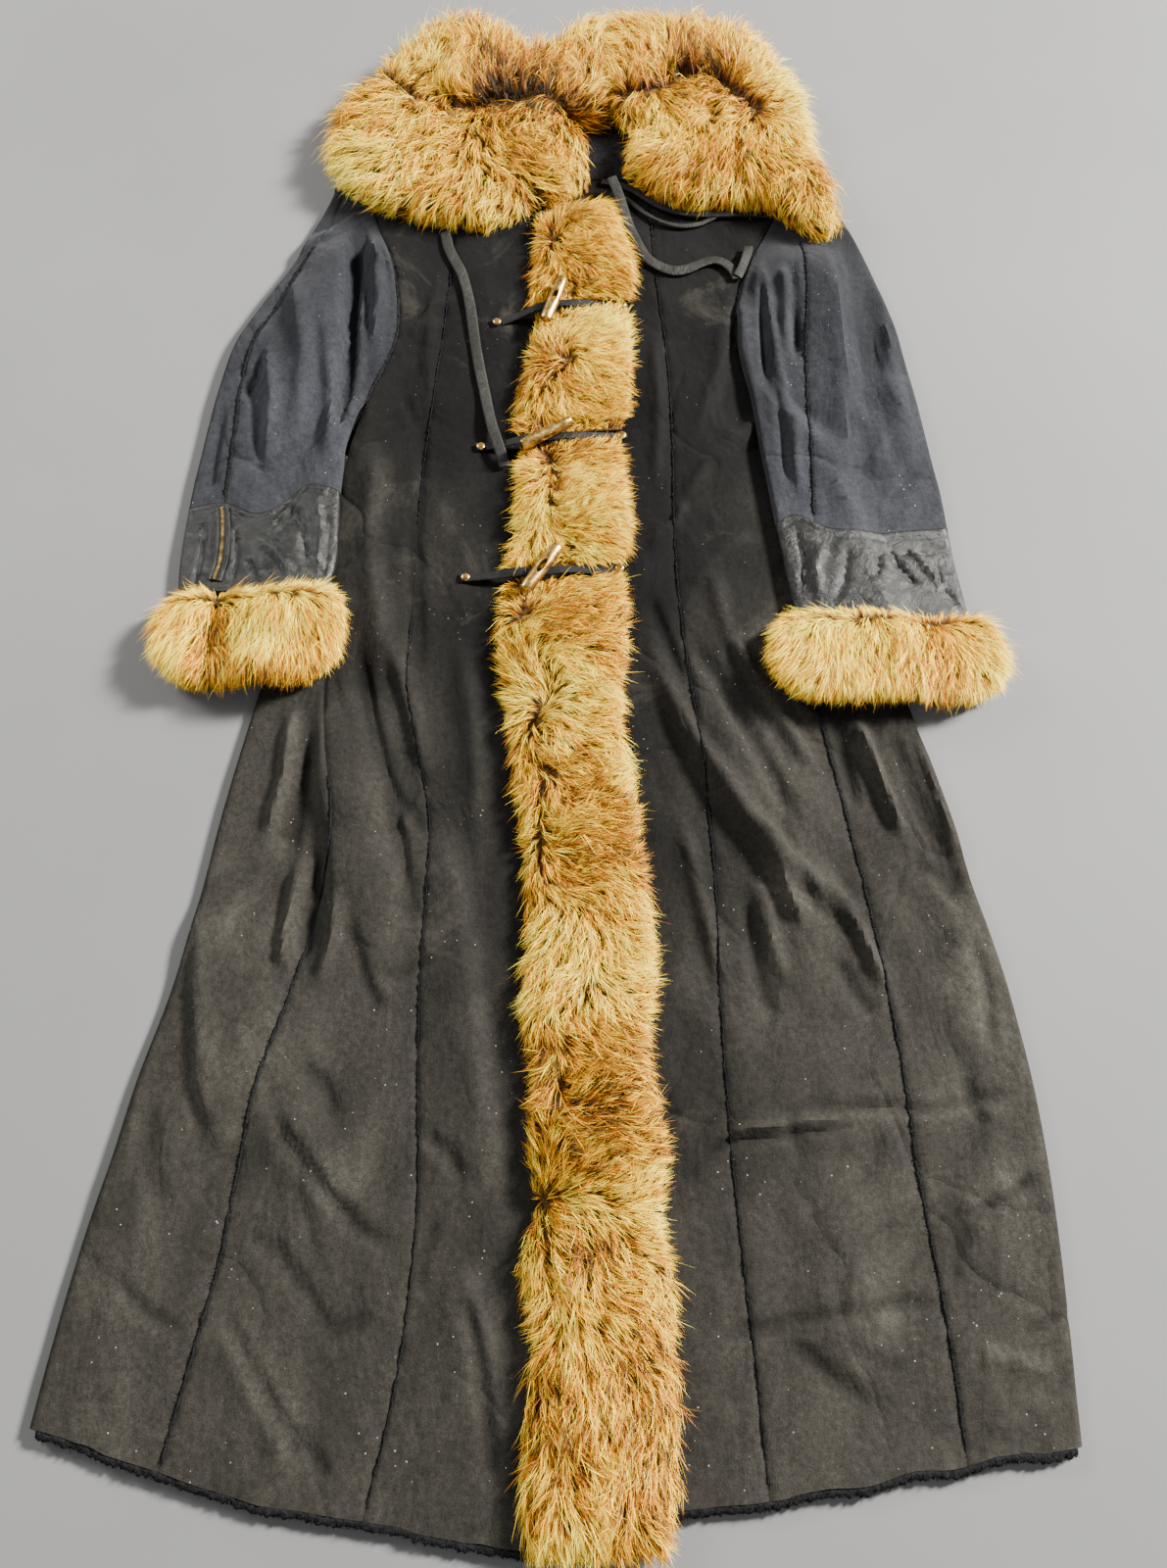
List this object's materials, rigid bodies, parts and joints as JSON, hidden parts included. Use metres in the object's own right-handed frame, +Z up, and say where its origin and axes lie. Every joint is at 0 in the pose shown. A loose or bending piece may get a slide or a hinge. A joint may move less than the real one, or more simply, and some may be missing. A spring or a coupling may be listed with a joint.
{
  "type": "hooded coat",
  "caption": "Long hooded coat of dark suede with fur hood edge, fur front band and fur cuffs, laid flat face up, done up with horn-shaped metal toggles on leather straps.",
  "frame": {"origin": "the mount underside: under the middle of the back, on the surface the coat lies on, half way along the coat", "axes": "+Y from the hem towards the hood, +Z up from the surface, +X towards the wearer's left"},
  "size_m": [0.7931, 1.527, 0.049],
  "materials": {
    "suede": "napped, matt, dusty",
    "hood_cloth": "black fleece, matt",
    "leather": "smooth, half gloss, scuffed",
    "fur": "long curly pile, cream tips over gold and olive-brown roots",
    "brass": "worn, satin"
  },
  "bodies": {
    "root": {"back": "suede", "side_back_R": "suede", "side_back_L": "suede", "side_front_R": "suede", "side_front_L": "suede", "centre_front_R": "suede", "centre_front_L": "suede", "sleeve_front_R": "suede", "sleeve_back_R": "suede", "sleeve_front_L": "suede", "sleeve_back_L": "suede", "hood": "hood_cloth", "leather_cuff_R": "leather", "leather_cuff_L": "leather", "hood_binding_L": "leather", "neck_strap": "leather", "tie_R": "leather", "tie_L": "leather", "strap_R_1": "leather", "strap_L_1": "leather", "strap_R_2": "leather", "strap_L_2": "leather", "strap_R_3": "leather", "strap_L_3": "leather", "cuff_fur_R": "fur", "cuff_fur_L": "fur", "hood_fur_R": "fur", "hood_fur_L": "fur", "placket_fur_1": "fur", "placket_fur_2": "fur", "placket_fur_3": "fur", "placket_fur_4": "fur", "toggle_1": "brass", "toggle_2": "brass", "toggle_3": "brass", "rivet_R_1": "brass", "rivet_L_1": "brass", "rivet_R_2": "brass", "rivet_L_2": "brass", "rivet_R_3": "brass", "rivet_L_3": "brass", "stud_R": "brass", "stud_L": "brass", "zip_R": "brass"}
  },
  "joints": []
}
